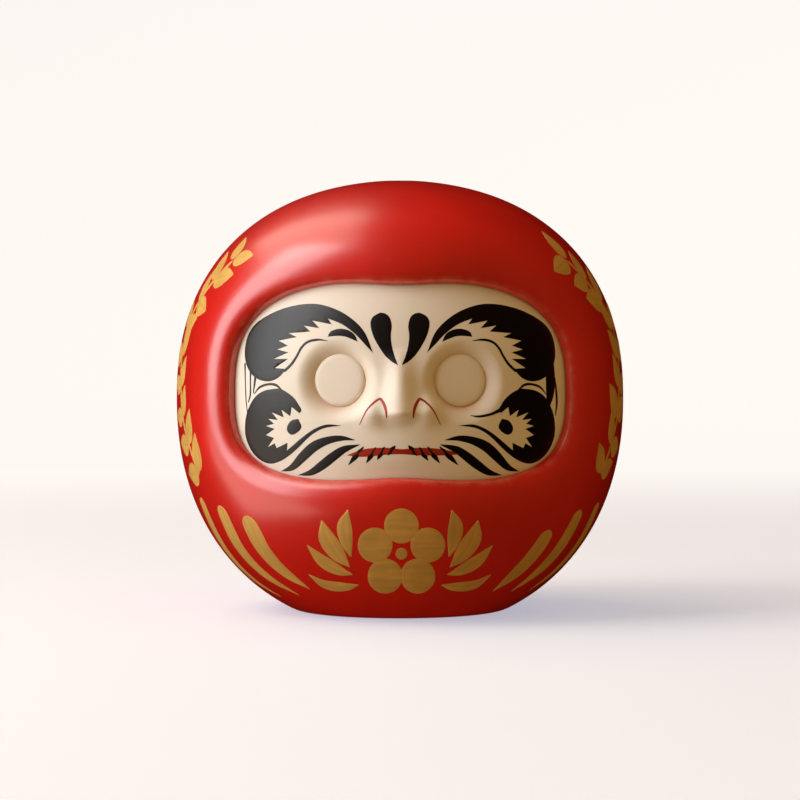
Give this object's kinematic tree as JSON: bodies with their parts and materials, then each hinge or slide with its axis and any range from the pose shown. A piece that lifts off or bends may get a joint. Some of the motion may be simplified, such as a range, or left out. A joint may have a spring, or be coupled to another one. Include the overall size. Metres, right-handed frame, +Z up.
{
  "type": "daruma doll",
  "caption": "Round hollow daruma doll of moulded paper with a face recessed in a lipped window, blank eye discs and a weighted flat base.",
  "frame": {"origin": "on the floor at the middle of the flat base", "axes": "+Z up through the crown; the face looks along -Y, so +X is on the right of someone looking at the face"},
  "size_m": [0.1502, 0.1502, 0.1439],
  "materials": {
    "red_paper": "satin",
    "face_white": "satin",
    "eye_white": "satin",
    "strip_paper": "matte",
    "clay": "matte",
    "kraft_paper": "matte"
  },
  "bodies": {
    "root": {"front_shell": "red_paper", "back_shell": "red_paper", "face_mask": "face_white", "eye_blank_left": "eye_white", "eye_blank_right": "eye_white", "seam_strip_left": "strip_paper", "seam_strip_right": "strip_paper", "seam_strip_crown": "strip_paper", "base_weight": "clay", "base_paper": "kraft_paper"}
  },
  "joints": []
}
